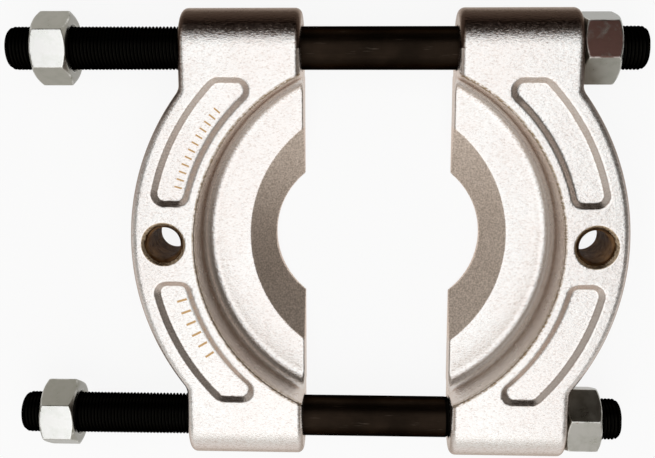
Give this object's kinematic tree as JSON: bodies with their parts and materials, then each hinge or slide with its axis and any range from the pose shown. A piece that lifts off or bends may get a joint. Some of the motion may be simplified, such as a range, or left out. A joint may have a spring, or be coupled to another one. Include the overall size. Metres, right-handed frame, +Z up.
{
  "type": "bearing separator",
  "caption": "Split bearing separator: facing forged half plates with wedge edges slide on long threaded studs and are drawn together by hex nuts to grip behind a bearing.",
  "frame": {"origin": "centre of the whole tool in plan, at the level of the halves' underside", "axes": "+X along the studs from the loose nuts to the nuts that bear on their half, +Z up out of the bearing seat"},
  "size_m": [0.2848, 0.2064, 0.035],
  "materials": {
    "plated_forging": "satin plated forging",
    "black_steel": "black oxide, oiled",
    "zinc_nut": "zinc plated"
  },
  "bodies": {
    "right_half": {"right_half": "plated_forging"},
    "left_half": {"left_half": "plated_forging"},
    "upper_stud": {"upper_stud": "black_steel"},
    "lower_stud": {"lower_stud": "black_steel"},
    "upper_left_nut": {"upper_left_nut": "zinc_nut"},
    "lower_left_nut": {"lower_left_nut": "zinc_nut"},
    "upper_right_nut": {"upper_right_nut": "zinc_nut"},
    "lower_right_nut": {"lower_right_nut": "zinc_nut"}
  },
  "joints": [
    {"name": "left_half_slide", "type": "slide", "parent": "right_half", "child": "left_half", "axis": [1, 0, 0], "range_m": [-0.0485, 0.0679]},
    {"name": "upper_right_nut_turn", "type": "hinge", "parent": "right_half", "child": "upper_right_nut", "pos_m": [0.121, 0.08575, 0.0175], "axis": [-1, 0, 0], "range_deg": [-2190, 5430]},
    {"name": "lower_right_nut_turn", "type": "hinge", "parent": "right_half", "child": "lower_right_nut", "pos_m": [0.121, -0.08575, 0.0175], "axis": [-1, 0, 0], "range_deg": [-2190, 5430]},
    {"name": "upper_stud_draw", "type": "slide", "parent": "right_half", "child": "upper_stud", "axis": [1, 0, 0], "range_m": [-0.0096, 0.0239]},
    {"name": "lower_stud_draw", "type": "slide", "parent": "right_half", "child": "lower_stud", "axis": [1, 0, 0], "range_m": [-0.0096, 0.0239]},
    {"name": "upper_left_nut_travel", "type": "slide", "parent": "upper_stud", "child": "upper_left_nut", "axis": [1, 0, 0], "range_m": [-0.013, 0.0485]},
    {"name": "lower_left_nut_travel", "type": "slide", "parent": "lower_stud", "child": "lower_left_nut", "axis": [1, 0, 0], "range_m": [-0.0105, 0.0535]}
  ],
  "couplings": [
    {"joint": "upper_right_nut_turn", "follows": "upper_stud_draw", "rad_per_m": 3957.9},
    {"joint": "lower_right_nut_turn", "follows": "lower_stud_draw", "rad_per_m": 3957.9}
  ]
}
